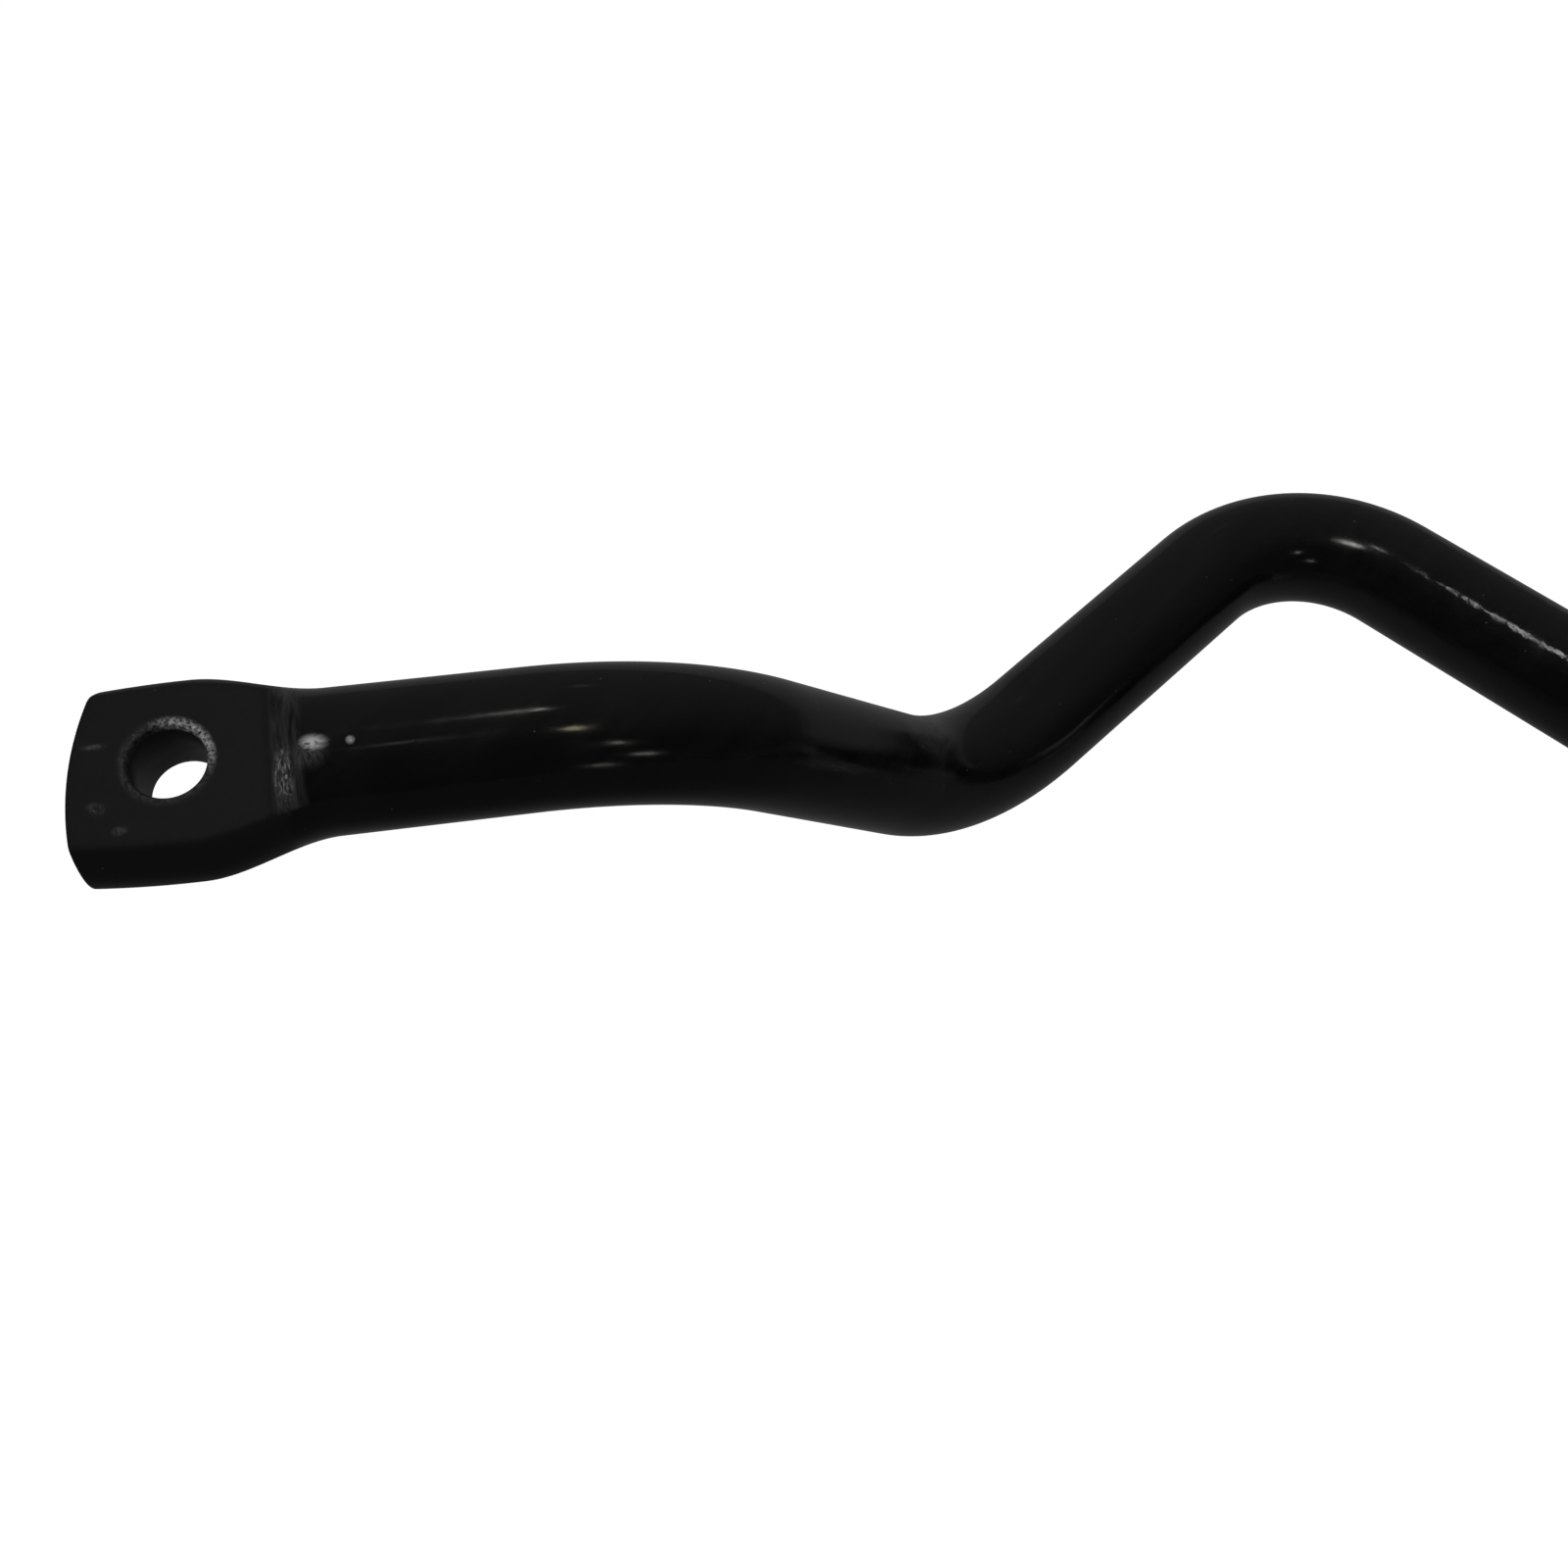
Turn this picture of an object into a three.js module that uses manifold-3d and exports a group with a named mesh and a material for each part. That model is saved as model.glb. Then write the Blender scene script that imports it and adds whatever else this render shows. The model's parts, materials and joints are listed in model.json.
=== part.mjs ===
// Sway bar (anti-roll bar) with its pivot hardware.
//
// Lengths are millimetres, +Z is up and +X points to the right of the vehicle.
// While it is being built, the straight centre section of the bar lies on the X axis;
// the finished assembly is then set down on Z = 0, centred on its footprint.
// Both arms run to -Y, and each ends in a flattened eye that takes a link stud.

import * as THREE from 'three';
import { mergeVertices } from 'three/addons/utils/BufferGeometryUtils.js';
import Module from 'manifold-3d';

const wasm = await Module();
wasm.setup();

// ---- Driving dimensions -------------------------------------------------------

// Bar
const BAR_DIAMETER = 24;
const BAR_RADIUS = BAR_DIAMETER / 2;
const HALF_CENTRE = 400; // middle of the bar to the corner of the elbow
const BAR_SIDES = 32;

// Corners of the arm's centreline, measured from the elbow corner of the left arm
const JOG_CORNER = [-8.5, -104.5, 0];
const NECK_CORNER = [-31.5, -155.5, 62.5];
const EYE_CENTRE = [-79.5, -218, 71];

// Bend radii on the centreline, and the straight facets used round each bend
const ELBOW_BEND = { radius: 31, steps: 10 };
const JOG_BEND = { radius: 48, steps: 7 };
const NECK_BEND = { radius: 60, steps: 7 };

// Eye: the end of the bar, spread sideways and pressed flat
const EYE_ROLL = 9; // degrees by which the upper flat faces inboard
const EYE_THICKNESS = 15;
const EYE_TIP = 15; // bore axis to the rounded tip
const EYE_TIP_ARC = 50;
const EYE_TIP_SKEW = 5.8; // how far inboard the middle of the tip's arc lies
const EYE_FLAT_END = 16; // bore axis to the foot of the shoulder
const SHOULDER_LENGTH = 5;
const OUTBOARD_SPREAD = 4.15; // extra half width where the eye is widest
const INBOARD_SPREAD = 5.1;
const EYE_WIDEST = 3;
const EYE_TIP_TAPER = 1.1; // how much of the spread is lost towards the tip
const FORGED_LENGTH = 24; // bore axis to where the bar is round again
const EYE_BORE_RADIUS = 6;
const EYE_CHAMFER = 1;

// Pivots: a rubber bushing held down on a base plate by a strap
const PIVOT_X = 250;
const FIT_GAP = 0.3; // left between pieces that touch
const BUSHING_RADIUS = 21;
const BUSHING_LENGTH = 38;
const BUSHING_SLIT = 1;
const FLANGE_THICKNESS = 3.5;
const FLANGE_HEIGHT = 3;
const STRAP_THICKNESS = 3.5;
const STRAP_WIDTH = BUSHING_LENGTH - 2 * FLANGE_THICKNESS - 2 * FIT_GAP;
const STRAP_REACH = 47; // centre to the end of a foot
const STRAP_BEND = 5; // inside radius where the arch meets a foot
const PLATE_THICKNESS = 5;
const PLATE_LENGTH = 136;
const PLATE_WIDTH = 44;
const PLATE_CORNER = 10;
const CHASSIS_HOLE_RADIUS = 5.5;
const CHASSIS_HOLE_Y = 57;

// Fasteners, for an 8 mm thread
const STUD_Y = 36.5;
const STUD_RADIUS = 4;
const STUD_HEAD_RADIUS = 6.5;
const STUD_HEAD_THICKNESS = 2;
const STUD_POINT = 1;
const STUD_STANDOUT = 3.5; // thread showing above the nut
const WASHER_RADIUS = 8;
const WASHER_THICKNESS = 1.6;
const NUT_ACROSS_FLATS = 13;
const NUT_HEIGHT = 6.8;

// Stop rings, crimped on the bar inboard of the bushings
const RING_RADIUS = 17;
const RING_WIDTH = 10;
const RING_GAP = 3;
const RING_CLEARANCE = 1;

// ---- Materials ----------------------------------------------------------------

const blackPaint = new THREE.MeshStandardMaterial({ color: 0x0a0a0b, roughness: 0.22, metalness: 0.1 });
const rubber = new THREE.MeshStandardMaterial({ color: 0x161616, roughness: 0.85, metalness: 0 });
const zincPlate = new THREE.MeshStandardMaterial({ color: 0xb9bcbe, roughness: 0.38, metalness: 0.9 });
const bareSteel = new THREE.MeshStandardMaterial({ color: 0x8d8f92, roughness: 0.45, metalness: 0.9 });

// ---- Small tools --------------------------------------------------------------

const X_AXIS = new THREE.Vector3(1, 0, 0);
const Y_AXIS = new THREE.Vector3(0, 1, 0);
const Z_AXIS = new THREE.Vector3(0, 0, 1);
const MERGE_DISTANCE = 1e-4;
const HOLE_SIDES = 20;

// Leaves out the triangles that a turned profile folds flat where it meets its axis.
function realTriangles(corners) {
  const kept = [];
  for (let i = 0; i < corners.length; i += 3) {
    const [a, b, c] = corners.slice(i, i + 3);
    if (a !== b && b !== c && c !== a) kept.push(a, b, c);
  }
  return kept;
}

// The shared vertices are merged before the piece is placed, while they are still equal.
function toSolid(geometry, placement = new THREE.Matrix4()) {
  const bare = geometry.clone();
  bare.deleteAttribute('normal');
  bare.deleteAttribute('uv');
  const merged = mergeVertices(bare, MERGE_DISTANCE).applyMatrix4(placement);
  return new wasm.Manifold(new wasm.Mesh({
    numProp: 3,
    vertProperties: new Float32Array(merged.attributes.position.array),
    triVerts: new Uint32Array(realTriangles(merged.index.array)),
  }));
}

function toGeometry(solid) {
  const mesh = solid.getMesh();
  const geometry = new THREE.BufferGeometry();
  geometry.setAttribute('position', new THREE.BufferAttribute(mesh.vertProperties, 3));
  geometry.setIndex(new THREE.BufferAttribute(mesh.triVerts, 1));
  geometry.computeVertexNormals();
  return geometry;
}

function named(name, geometry, material) {
  const mesh = new THREE.Mesh(geometry, material);
  mesh.name = name;
  return mesh;
}

// An outline drawn in the Y-Z plane, extruded along X and centred on X = 0.
function extrudeAlongX(outline, width, curveSegments = 8) {
  const geometry = new THREE.ExtrudeGeometry(outline, { depth: width, bevelEnabled: false, curveSegments });
  geometry.translate(0, 0, -width / 2);
  return geometry.applyMatrix4(new THREE.Matrix4().makeBasis(Y_AXIS, Z_AXIS, X_AXIS));
}

// A profile of [radius, height] points turned about the Z axis.
function turnAboutZ(profile, segments) {
  const points = profile.map(([radius, height]) => new THREE.Vector2(radius, height));
  return new THREE.LatheGeometry(points, segments).rotateX(Math.PI / 2);
}

function roundHole(x, y, radius) {
  return new THREE.Path().absarc(x, y, radius, 0, 2 * Math.PI, true);
}

// ---- The bar's centreline -----------------------------------------------------

// Straight and bent pieces in a row. Each piece is cut into its own number of steps, so
// long straights stay cheap and the bends stay round.
class BentCentreline extends THREE.Curve {
  constructor(pieces) {
    super();
    this.pieces = pieces;
    this.totalSteps = pieces.reduce((sum, piece) => sum + piece.steps, 0);
  }

  getPoint(t, target = new THREE.Vector3()) {
    let step = t * this.totalSteps;
    let index = 0;
    while (index < this.pieces.length - 1 && step > this.pieces[index].steps) {
      step -= this.pieces[index].steps;
      index += 1;
    }
    const piece = this.pieces[index];
    return target.copy(piece.at(step / piece.steps));
  }

  // Keeps every step where its piece puts it, instead of spacing them evenly.
  getUtoTmapping(u) {
    return u;
  }
}

function straight(from, to, steps) {
  return { steps, at: (f) => new THREE.Vector3().lerpVectors(from, to, f) };
}

// The arc that rounds a corner between two straights, with the points where it touches them.
function bend(before, corner, after, { radius, steps }) {
  const incoming = corner.clone().sub(before).normalize();
  const outgoing = after.clone().sub(corner).normalize();
  const angle = incoming.angleTo(outgoing);
  const setback = radius * Math.tan(angle / 2);
  const start = corner.clone().addScaledVector(incoming, -setback);
  const end = corner.clone().addScaledVector(outgoing, setback);
  const axis = incoming.clone().cross(outgoing).normalize();
  const centre = start.clone().addScaledVector(axis.clone().cross(incoming), radius);
  const spoke = start.clone().sub(centre);
  const at = (f) => spoke.clone().applyAxisAngle(axis, f * angle).add(centre);
  return { start, end, arc: { steps, at } };
}

// side is -1 for the left arm and +1 for the right arm.
function armPoint([x, y, z], side) {
  return new THREE.Vector3(side * (HALF_CENTRE - x), y, z);
}

// Local axes of an eye: along the bar towards the neck, across the flats, and out of the
// upper flat.
function eyeFrame(side) {
  const centre = armPoint(EYE_CENTRE, side);
  const along = armPoint(NECK_CORNER, side).sub(centre).normalize();
  const level = Z_AXIS.clone().cross(along).normalize();
  const lean = THREE.MathUtils.degToRad(-side * EYE_ROLL);
  const across = level.applyAxisAngle(along, lean);
  const normal = along.clone().cross(across);
  return { side, centre, along, across, normal };
}

function eyePlacement({ centre, along, across, normal }) {
  return new THREE.Matrix4().makeBasis(along, across, normal).setPosition(centre);
}

// ---- The bar ------------------------------------------------------------------

// Pieces of one arm, from beyond the eye's tip to the end of the elbow.
function armPieces(side) {
  const { centre, along } = eyeFrame(side);
  const elbow = armPoint([0, 0, 0], side);
  const jog = armPoint(JOG_CORNER, side);
  const neck = armPoint(NECK_CORNER, side);
  const blankEnd = centre.clone().addScaledVector(along, -EYE_TIP - 1);
  const forgedEnd = centre.clone().addScaledVector(along, FORGED_LENGTH);
  const neckBend = bend(centre, neck, jog, NECK_BEND);
  const jogBend = bend(neck, jog, elbow, JOG_BEND);
  const elbowBend = bend(jog, elbow, new THREE.Vector3(), ELBOW_BEND);
  return [
    straight(blankEnd, forgedEnd, 14),
    straight(forgedEnd, neckBend.start, 1),
    neckBend.arc,
    straight(neckBend.end, jogBend.start, 1),
    jogBend.arc,
    straight(jogBend.end, elbowBend.start, 1),
    elbowBend.arc,
  ];
}

function reversed(pieces) {
  return pieces.toReversed().map(({ steps, at }) => ({ steps, at: (f) => at(1 - f) }));
}

// Extra half width of the eye at a distance s from the bore axis, towards the neck.
function spreadAt(s, widest) {
  const rise = 1 - THREE.MathUtils.smoothstep(s, EYE_WIDEST, FORGED_LENGTH);
  const towardsTip = Math.max(0, EYE_WIDEST - s) / (EYE_WIDEST + EYE_TIP);
  return widest * rise - EYE_TIP_TAPER * towardsTip ** 2;
}

// Widens the round bar sideways at an eye.
function spreadEye(geometry, frame) {
  const reach = FORGED_LENGTH + BAR_DIAMETER;
  const position = geometry.attributes.position;
  const point = new THREE.Vector3();
  for (let i = 0; i < position.count; i += 1) {
    point.fromBufferAttribute(position, i);
    const offset = point.clone().sub(frame.centre);
    const s = offset.dot(frame.along);
    if (offset.length() < reach && s < FORGED_LENGTH) {
      const inboard = offset.dot(frame.across) * frame.side > 0;
      const spread = spreadAt(s, inboard ? INBOARD_SPREAD : OUTBOARD_SPREAD);
      const widening = offset.dot(frame.across) * spread / BAR_RADIUS;
      point.addScaledVector(frame.across, widening);
      position.setXYZ(i, point.x, point.y, point.z);
    }
  }
}

// Everything above one flat, with the sloped shoulder where the flat ends.
function flatCutter(face) {
  const clear = BAR_DIAMETER;
  const low = EYE_THICKNESS / 2;
  const slope = (BAR_RADIUS - low) / SHOULDER_LENGTH;
  const outline = new THREE.Shape([
    new THREE.Vector2(-2 * clear, face * low),
    new THREE.Vector2(EYE_FLAT_END, face * low),
    new THREE.Vector2(EYE_FLAT_END + (clear - low) / slope, face * clear),
    new THREE.Vector2(-2 * clear, face * clear),
  ]);
  const geometry = new THREE.ExtrudeGeometry(outline, { depth: 2 * clear, bevelEnabled: false });
  geometry.translate(0, 0, -clear);
  // The outline's second axis becomes the eye's normal, and the extrusion runs across it.
  return geometry.rotateX(Math.PI / 2);
}

// Everything beyond the rounded tip.
function tipCutter(side) {
  const clear = BAR_DIAMETER;
  const skew = side * EYE_TIP_SKEW;
  const centre = EYE_TIP_ARC - EYE_TIP;
  const start = Math.PI - Math.asin((clear - skew) / EYE_TIP_ARC);
  const end = Math.PI + Math.asin((clear + skew) / EYE_TIP_ARC);
  const outline = new THREE.Shape();
  outline.absarc(centre, skew, EYE_TIP_ARC, start, end, false);
  outline.lineTo(-2 * clear, -clear);
  outline.lineTo(-2 * clear, clear);
  outline.closePath();
  const geometry = new THREE.ExtrudeGeometry(outline, {
    depth: 2 * clear,
    bevelEnabled: false,
    curveSegments: 8,
  });
  return geometry.translate(0, 0, -clear);
}

// The bore with a chamfer at both flats.
function boreCutter() {
  const beyond = EYE_THICKNESS / 2 + 2;
  const mouth = EYE_BORE_RADIUS + EYE_CHAMFER + beyond - EYE_THICKNESS / 2;
  const neck = EYE_THICKNESS / 2 - EYE_CHAMFER;
  return turnAboutZ([
    [0, -beyond],
    [mouth, -beyond],
    [EYE_BORE_RADIUS, -neck],
    [EYE_BORE_RADIUS, neck],
    [mouth, beyond],
    [0, beyond],
  ], 32);
}

function makeBar() {
  const path = new BentCentreline([
    ...armPieces(-1),
    straight(bendEnd(-1), bendEnd(1), 2),
    ...reversed(armPieces(1)),
  ]);
  const section = new THREE.Shape().absarc(0, 0, BAR_RADIUS, 0, 2 * Math.PI, false);
  const blank = new THREE.ExtrudeGeometry(section, {
    steps: path.totalSteps,
    curveSegments: BAR_SIDES / 2,
    extrudePath: path,
    bevelEnabled: false,
  });
  const frames = [eyeFrame(-1), eyeFrame(1)];
  frames.forEach((frame) => spreadEye(blank, frame));
  let solid = toSolid(blank);
  for (const frame of frames) {
    for (const cutter of [flatCutter(1), flatCutter(-1), tipCutter(frame.side), boreCutter()]) {
      solid = solid.subtract(toSolid(cutter, eyePlacement(frame)));
    }
  }
  return named('sway_bar', toGeometry(solid), blackPaint);
}

// Where an elbow runs out into the straight centre section.
function bendEnd(side) {
  return bend(armPoint(JOG_CORNER, side), armPoint([0, 0, 0], side), new THREE.Vector3(), ELBOW_BEND).end;
}

// ---- Bushing ------------------------------------------------------------------

// D outline about the bar, flat side down, slit open through the side wall.
function bushingOutline(radius) {
  const bore = BAR_RADIUS + FIT_GAP;
  const half = BUSHING_SLIT / 2;
  const outline = new THREE.Shape();
  const boreSlit = Math.asin(half / bore);
  outline.absarc(0, 0, radius, Math.asin(half / radius), Math.PI, false);
  outline.lineTo(-radius, -BUSHING_RADIUS);
  outline.lineTo(radius, -BUSHING_RADIUS);
  outline.lineTo(radius, -half);
  outline.absarc(0, 0, bore, -boreSlit, boreSlit - 2 * Math.PI, true);
  outline.closePath();
  return outline;
}

function makeBushing(name) {
  const body = toSolid(extrudeAlongX(bushingOutline(BUSHING_RADIUS), BUSHING_LENGTH, 14));
  let solid = body;
  for (const end of [-1, 1]) {
    const flange = extrudeAlongX(bushingOutline(BUSHING_RADIUS + FLANGE_HEIGHT), FLANGE_THICKNESS, 14);
    flange.translate(end * (BUSHING_LENGTH - FLANGE_THICKNESS) / 2, 0, 0);
    solid = solid.add(toSolid(flange));
  }
  return named(name, toGeometry(solid), rubber);
}

// ---- Strap and base plate -----------------------------------------------------

const PLATE_TOP = -BUSHING_RADIUS - FIT_GAP;
const FOOT_BOTTOM = PLATE_TOP + FIT_GAP;
const FOOT_TOP = FOOT_BOTTOM + STRAP_THICKNESS;

function studHole(y, radius) {
  const geometry = new THREE.CylinderGeometry(radius, radius, 4 * PLATE_THICKNESS, HOLE_SIDES);
  return toSolid(geometry.rotateX(Math.PI / 2).translate(0, y, PLATE_TOP));
}

// An arch over the bushing with a foot on each side.
function strapOutline() {
  const inner = BUSHING_RADIUS + FIT_GAP;
  const outer = inner + STRAP_THICKNESS;
  const toe = STRAP_BEND + STRAP_THICKNESS;
  const outline = new THREE.Shape();
  outline.moveTo(STRAP_REACH, FOOT_BOTTOM);
  outline.lineTo(STRAP_REACH, FOOT_TOP);
  outline.lineTo(outer + STRAP_BEND, FOOT_TOP);
  outline.absarc(outer + STRAP_BEND, FOOT_TOP + STRAP_BEND, STRAP_BEND, -Math.PI / 2, -Math.PI, true);
  outline.absarc(0, 0, outer, 0, Math.PI, false);
  outline.absarc(-outer - STRAP_BEND, FOOT_TOP + STRAP_BEND, STRAP_BEND, 0, -Math.PI / 2, true);
  outline.lineTo(-STRAP_REACH, FOOT_TOP);
  outline.lineTo(-STRAP_REACH, FOOT_BOTTOM);
  outline.lineTo(-inner - toe, FOOT_BOTTOM);
  outline.absarc(-inner - toe, FOOT_BOTTOM + toe, toe, -Math.PI / 2, 0, false);
  outline.absarc(0, 0, inner, Math.PI, 0, true);
  outline.absarc(inner + toe, FOOT_BOTTOM + toe, toe, Math.PI, 3 * Math.PI / 2, false);
  outline.closePath();
  return outline;
}

function makeStrap(name) {
  let solid = toSolid(extrudeAlongX(strapOutline(), STRAP_WIDTH));
  for (const side of [-1, 1]) {
    solid = solid.subtract(studHole(side * STUD_Y, STUD_RADIUS + 2 * FIT_GAP));
  }
  return named(name, toGeometry(solid), zincPlate);
}

function plateOutline() {
  const x = PLATE_WIDTH / 2;
  const y = PLATE_LENGTH / 2;
  const r = PLATE_CORNER;
  const outline = new THREE.Shape();
  outline.absarc(x - r, y - r, r, 0, Math.PI / 2, false);
  outline.absarc(r - x, y - r, r, Math.PI / 2, Math.PI, false);
  outline.absarc(r - x, r - y, r, Math.PI, 3 * Math.PI / 2, false);
  outline.absarc(x - r, r - y, r, 3 * Math.PI / 2, 2 * Math.PI, false);
  outline.closePath();
  for (const side of [-1, 1]) {
    outline.holes.push(roundHole(0, side * CHASSIS_HOLE_Y, CHASSIS_HOLE_RADIUS));
  }
  return outline;
}

function makeBasePlate(name) {
  const plate = new THREE.ExtrudeGeometry(plateOutline(), {
    depth: PLATE_THICKNESS,
    bevelEnabled: false,
    curveSegments: 10,
  });
  plate.translate(0, 0, PLATE_TOP - PLATE_THICKNESS);
  let solid = toSolid(plate);
  for (const side of [-1, 1]) {
    const depth = STUD_HEAD_THICKNESS + 2 * FIT_GAP;
    const radius = STUD_HEAD_RADIUS + FIT_GAP;
    const seat = new THREE.CylinderGeometry(radius, radius, 2 * depth, HOLE_SIDES).rotateX(Math.PI / 2);
    seat.translate(0, side * STUD_Y, PLATE_TOP - PLATE_THICKNESS);
    solid = solid.subtract(studHole(side * STUD_Y, STUD_RADIUS + FIT_GAP)).subtract(toSolid(seat));
  }
  return named(name, toGeometry(solid), zincPlate);
}

// ---- Fasteners ----------------------------------------------------------------

const WASHER_BOTTOM = FOOT_TOP + FIT_GAP;
const NUT_BOTTOM = WASHER_BOTTOM + WASHER_THICKNESS + FIT_GAP;
const STUD_TOP = NUT_BOTTOM + NUT_HEIGHT + STUD_STANDOUT;
const STUD_BOTTOM = PLATE_TOP - PLATE_THICKNESS + FIT_GAP;

// A stud pressed into the plate from below, its flat head sunk flush.
function makeStud(name) {
  const geometry = turnAboutZ([
    [0, STUD_BOTTOM],
    [STUD_HEAD_RADIUS, STUD_BOTTOM],
    [STUD_HEAD_RADIUS, STUD_BOTTOM + STUD_HEAD_THICKNESS],
    [STUD_RADIUS, STUD_BOTTOM + STUD_HEAD_THICKNESS],
    [STUD_RADIUS, STUD_TOP - STUD_POINT],
    [STUD_RADIUS - STUD_POINT, STUD_TOP],
    [0, STUD_TOP],
  ], HOLE_SIDES);
  return named(name, geometry, zincPlate);
}

function makeWasher(name) {
  const outline = new THREE.Shape().absarc(0, 0, WASHER_RADIUS, 0, 2 * Math.PI, false);
  outline.holes.push(roundHole(0, 0, STUD_RADIUS + FIT_GAP));
  const geometry = new THREE.ExtrudeGeometry(outline, {
    depth: WASHER_THICKNESS,
    bevelEnabled: false,
    curveSegments: 10,
  });
  return named(name, geometry.translate(0, 0, WASHER_BOTTOM), zincPlate);
}

function makeNut(name) {
  const cornerRadius = NUT_ACROSS_FLATS / Math.sqrt(3);
  const corners = [];
  for (let i = 0; i < 6; i += 1) {
    const angle = i * Math.PI / 3;
    corners.push(new THREE.Vector2(cornerRadius * Math.cos(angle), cornerRadius * Math.sin(angle)));
  }
  const outline = new THREE.Shape(corners);
  outline.holes.push(roundHole(0, 0, STUD_RADIUS + FIT_GAP));
  const geometry = new THREE.ExtrudeGeometry(outline, {
    depth: NUT_HEIGHT,
    bevelEnabled: false,
    curveSegments: 10,
  });
  return named(name, geometry.translate(0, 0, NUT_BOTTOM), zincPlate);
}

// ---- Stop ring ----------------------------------------------------------------

// A band crimped round the bar, its ends meeting at the top.
function makeStopRing(name) {
  const inner = BAR_RADIUS + FIT_GAP;
  const half = RING_GAP / 2;
  const innerGap = Math.asin(half / inner);
  const outerGap = Math.asin(half / RING_RADIUS);
  const top = Math.PI / 2;
  const outline = new THREE.Shape();
  outline.absarc(0, 0, RING_RADIUS, top + outerGap, top - outerGap + 2 * Math.PI, false);
  outline.absarc(0, 0, inner, top - innerGap + 2 * Math.PI, top + innerGap, true);
  outline.closePath();
  return named(name, extrudeAlongX(outline, RING_WIDTH, 16), bareSteel);
}

// ---- Assembly -----------------------------------------------------------------

// One pivot with its bushing, strap, base plate, studs, washers and nuts.
function makePivot(label, side) {
  const pivot = new THREE.Group();
  pivot.position.x = side * PIVOT_X;
  pivot.add(makeBushing(`${label}_bushing`));
  pivot.add(makeStrap(`${label}_strap`));
  pivot.add(makeBasePlate(`${label}_base_plate`));
  for (const [end, y] of [['front', STUD_Y], ['rear', -STUD_Y]]) {
    const fasteners = new THREE.Group();
    fasteners.position.y = y;
    fasteners.add(makeStud(`${label}_${end}_stud`));
    fasteners.add(makeWasher(`${label}_${end}_washer`));
    fasteners.add(makeNut(`${label}_${end}_nut`));
    pivot.add(fasteners);
  }
  return pivot;
}

const assembly = new THREE.Group();
assembly.add(makeBar());
for (const [label, side] of [['left', -1], ['right', 1]]) {
  assembly.add(makePivot(label, side));
  const ring = makeStopRing(`${label}_stop_ring`);
  ring.position.x = side * (PIVOT_X - (BUSHING_LENGTH + RING_WIDTH) / 2 - RING_CLEARANCE);
  assembly.add(ring);
}

// Set the assembly down on its base plates, centred on its footprint.
const extent = new THREE.Box3().setFromObject(assembly);
const middle = extent.getCenter(new THREE.Vector3());
assembly.position.set(-middle.x, -middle.y, -extent.min.z);

export default assembly;
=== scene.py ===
"""Looks of the sway bar: a painted forged bar with rubber bushings, zinc-plated straps,
base plates and fasteners, and two crimped stop rings.

Lengths are millimetres. Each shape is drawn in its own frame and then placed: the bar on
its own axis with the arms to -Y, and each pivot about the bar at its bushing.
"""

import json
import math

import bmesh
import bpy
import numpy as np
from mathutils import Matrix, Vector


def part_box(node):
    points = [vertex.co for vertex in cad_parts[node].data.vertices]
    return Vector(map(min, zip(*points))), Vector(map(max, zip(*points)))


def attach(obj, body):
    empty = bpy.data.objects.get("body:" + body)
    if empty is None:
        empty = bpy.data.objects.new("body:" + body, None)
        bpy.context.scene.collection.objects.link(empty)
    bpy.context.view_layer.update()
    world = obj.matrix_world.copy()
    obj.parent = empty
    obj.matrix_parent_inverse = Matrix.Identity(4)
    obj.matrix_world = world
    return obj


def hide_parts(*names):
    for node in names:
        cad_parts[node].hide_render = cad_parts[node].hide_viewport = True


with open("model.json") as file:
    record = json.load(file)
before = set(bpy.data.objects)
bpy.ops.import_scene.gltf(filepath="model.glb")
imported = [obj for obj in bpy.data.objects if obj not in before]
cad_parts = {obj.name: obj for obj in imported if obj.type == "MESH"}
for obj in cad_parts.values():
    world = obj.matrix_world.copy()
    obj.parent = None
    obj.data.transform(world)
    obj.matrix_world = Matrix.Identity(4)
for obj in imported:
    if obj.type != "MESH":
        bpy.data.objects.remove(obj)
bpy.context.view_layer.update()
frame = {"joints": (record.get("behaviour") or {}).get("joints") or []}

MM = 0.001
BAR_AXIS = Vector((0.0, *frame["joints"][0]["pos_m"][1:]))

# ---- Sizes of the bar -----------------------------------------------------------------

BAR_RADIUS = 11.99
ELBOW = np.array([-400.0, 0.0, 0.0])
JOG = np.array([-408.5, -104.5, 0.0])
NECK = np.array([-431.5, -155.5, 62.5])
EYE = np.array([-479.5, -218.0, 71.0])
ELBOW_BEND = 31.0
JOG_BEND = 48.0
NECK_BEND = 60.0
AROUND = 256  # points round the bar

EYE_ROLL = math.radians(9)
EYE_HALF_THICKNESS = 7.5
EYE_HALF_HEIGHT = 12.3  # of the oval that the flats are pressed into
EYE_TIP = 15.0
EYE_TIP_ARC = 50.0
EYE_TIP_SKEW = -5.8
EYE_FLAT_END = 16.0
SHOULDER_SLOPE = 0.9
OUTBOARD_SPREAD = 4.15
INBOARD_SPREAD = 5.1
EYE_WIDEST = 3.0
EYE_TIP_TAPER = 1.1
SPREAD_BLEND = 5.0
FORGED_LENGTH = 24.0
FLAT_EDGE = 0.55
TIP_EDGE = 0.5
SHOULDER_EDGE = 1.3
CHAMFERED_BORE = (  # radius, and distance out of the middle of the eye
    (6.0, 0.0),
    (6.0, 6.95),
    (6.1, 7.15),
    (6.3, 7.37),
    (6.55, 7.5),
    (9.0, 9.0),
    (9.0, 12.0),
)

# ---- Sizes of the pivots --------------------------------------------------------------

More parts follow.
